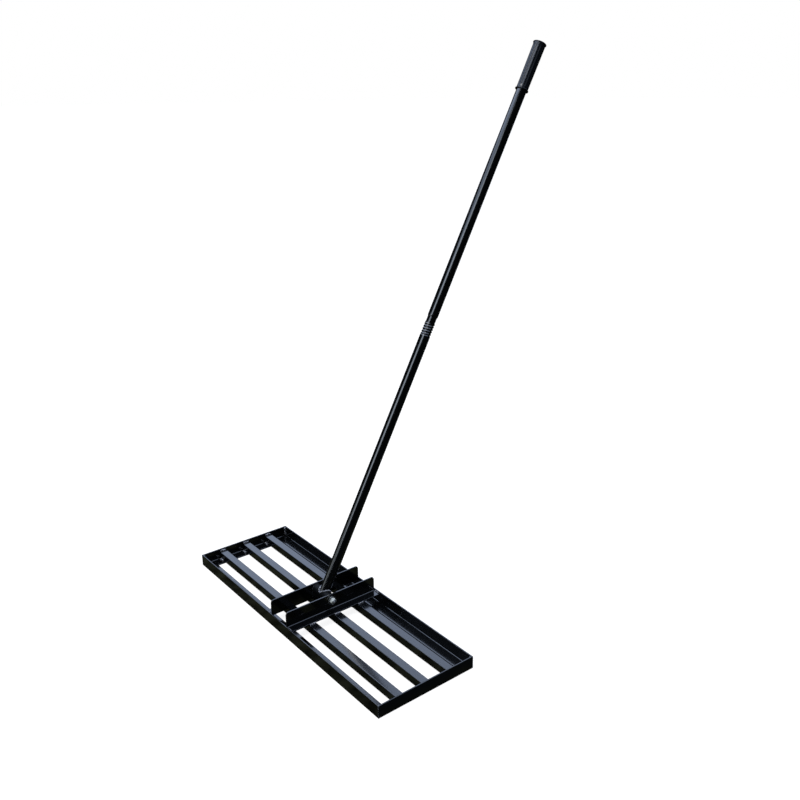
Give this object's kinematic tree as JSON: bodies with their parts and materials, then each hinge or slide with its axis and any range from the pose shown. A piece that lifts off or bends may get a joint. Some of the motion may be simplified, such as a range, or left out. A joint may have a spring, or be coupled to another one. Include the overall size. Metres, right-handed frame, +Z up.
{
  "type": "lawn leveling rake",
  "caption": "Flat open steel head of angle rails and square slats, with a long two-section tube handle that tilts on a bolt between two angle brackets.",
  "frame": {"origin": "on the ground, below the middle of the object's bounding box, with the handle leaning back as in the picture", "axes": "+X to the right along the head's long side, +Y to the rear, where the user stands and the handle leans, +Z up"},
  "size_m": [0.762, 0.8026, 1.2768],
  "materials": {
    "black_paint": "gloss black paint over steel",
    "zinc": "zinc plated",
    "nylon": "moulded nylon",
    "rubber": "matt, with fine grooves along it"
  },
  "bodies": {
    "head": {"front_rail": "black_paint", "rear_rail": "black_paint", "left_end_rail": "black_paint", "right_end_rail": "black_paint", "front_slat": "black_paint", "middle_slat": "black_paint", "rear_slat": "black_paint", "left_bracket": "black_paint", "right_bracket": "black_paint", "front_left_corner_weld": "black_paint", "front_right_corner_weld": "black_paint", "rear_left_corner_weld": "black_paint", "rear_right_corner_weld": "black_paint", "front_slat_left_weld": "black_paint", "front_slat_right_weld": "black_paint", "middle_slat_left_weld": "black_paint", "middle_slat_right_weld": "black_paint", "rear_slat_left_weld": "black_paint", "rear_slat_right_weld": "black_paint", "left_bracket_front_weld": "black_paint", "left_bracket_middle_weld": "black_paint", "left_bracket_rear_weld": "black_paint", "right_bracket_front_weld": "black_paint", "right_bracket_middle_weld": "black_paint", "right_bracket_rear_weld": "black_paint", "pivot_bolt": "zinc", "pivot_nut": "zinc", "head_washer": "zinc", "nut_washer": "zinc"},
    "handle": {"left_bush": "nylon", "right_bush": "nylon", "pivot_sleeve": "black_paint", "handle_weld": "black_paint", "lower_tube": "black_paint", "upper_tube": "black_paint", "grip": "rubber"}
  },
  "joints": [
    {"name": "handle_tilt", "type": "hinge", "parent": "head", "child": "handle", "pos_m": [0, -0.27431, 0.048], "axis": [1, 0, 0], "range_deg": [-62.5, 119.5]}
  ]
}
